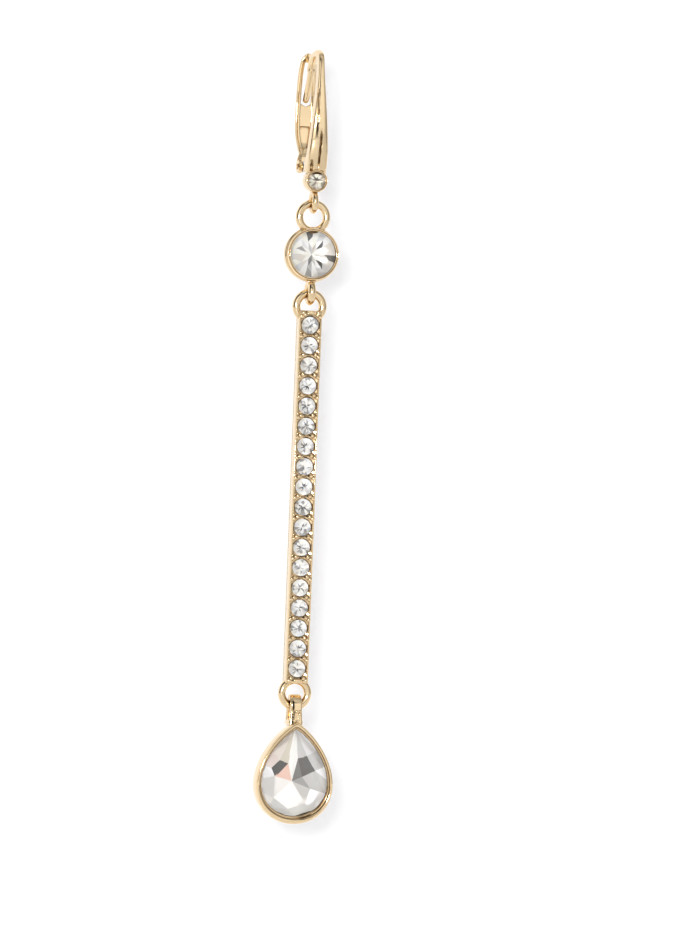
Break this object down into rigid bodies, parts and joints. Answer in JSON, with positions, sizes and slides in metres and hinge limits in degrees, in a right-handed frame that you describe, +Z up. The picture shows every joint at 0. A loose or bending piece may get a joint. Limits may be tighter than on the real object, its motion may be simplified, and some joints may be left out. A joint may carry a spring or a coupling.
{
  "type": "teardrop earring",
  "caption": "Long gold-toned drop earring: lever back, small and round bezel crystals, a slim bar of crystals and a pear-shaped crystal drop.",
  "frame": {"origin": "middle of the ear wire at its highest point, where the earring hangs in the ear lobe", "axes": "+Z up along the hanging drop, -Y towards the front that shows the stones, +X to the viewer's right"},
  "size_m": [0.0084, 0.0082, 0.0834],
  "materials": {
    "gold_plate": "mirror-polished pale gold plating",
    "crystal": "clear faceted crystal with a silvered back"
  },
  "bodies": {
    "hook": {"ear_hook": "gold_plate", "hook_stone": "crystal", "hinge_pin": "gold_plate"},
    "lever": {"lever": "gold_plate"},
    "connector": {"connector_setting": "gold_plate", "connector_stone": "crystal"},
    "bar": {"bar_setting": "gold_plate", "bar_stone_01": "crystal", "bar_stone_02": "crystal", "bar_stone_03": "crystal", "bar_stone_04": "crystal", "bar_stone_05": "crystal", "bar_stone_06": "crystal", "bar_stone_07": "crystal", "bar_stone_08": "crystal", "bar_stone_09": "crystal", "bar_stone_10": "crystal", "bar_stone_11": "crystal", "bar_stone_12": "crystal", "bar_stone_13": "crystal", "bar_stone_14": "crystal", "bar_stone_15": "crystal", "bar_stone_16": "crystal", "bar_stone_17": "crystal", "bar_stone_18": "crystal"},
    "drop": {"pear_setting": "gold_plate", "pear_stone": "crystal"}
  },
  "joints": [
    {"name": "lever_hinge", "type": "hinge", "parent": "hook", "child": "lever", "pos_m": [0, 0.0032, -0.0121], "axis": [-1, 0, 0], "range_deg": [0, 55]},
    {"name": "connector_swing", "type": "hinge", "parent": "hook", "child": "connector", "pos_m": [0, -0.0009, -0.017], "axis": [0, 1, 0], "range_deg": [-35, 35]},
    {"name": "bar_swing", "type": "hinge", "parent": "connector", "child": "bar", "pos_m": [0, -0.0009, -0.02678], "axis": [0, 1, 0], "range_deg": [-35, 35]},
    {"name": "pear_swing", "type": "hinge", "parent": "bar", "child": "drop", "pos_m": [0, -0.0009, -0.07031], "axis": [1, 0, 0], "range_deg": [-50, 50]}
  ]
}
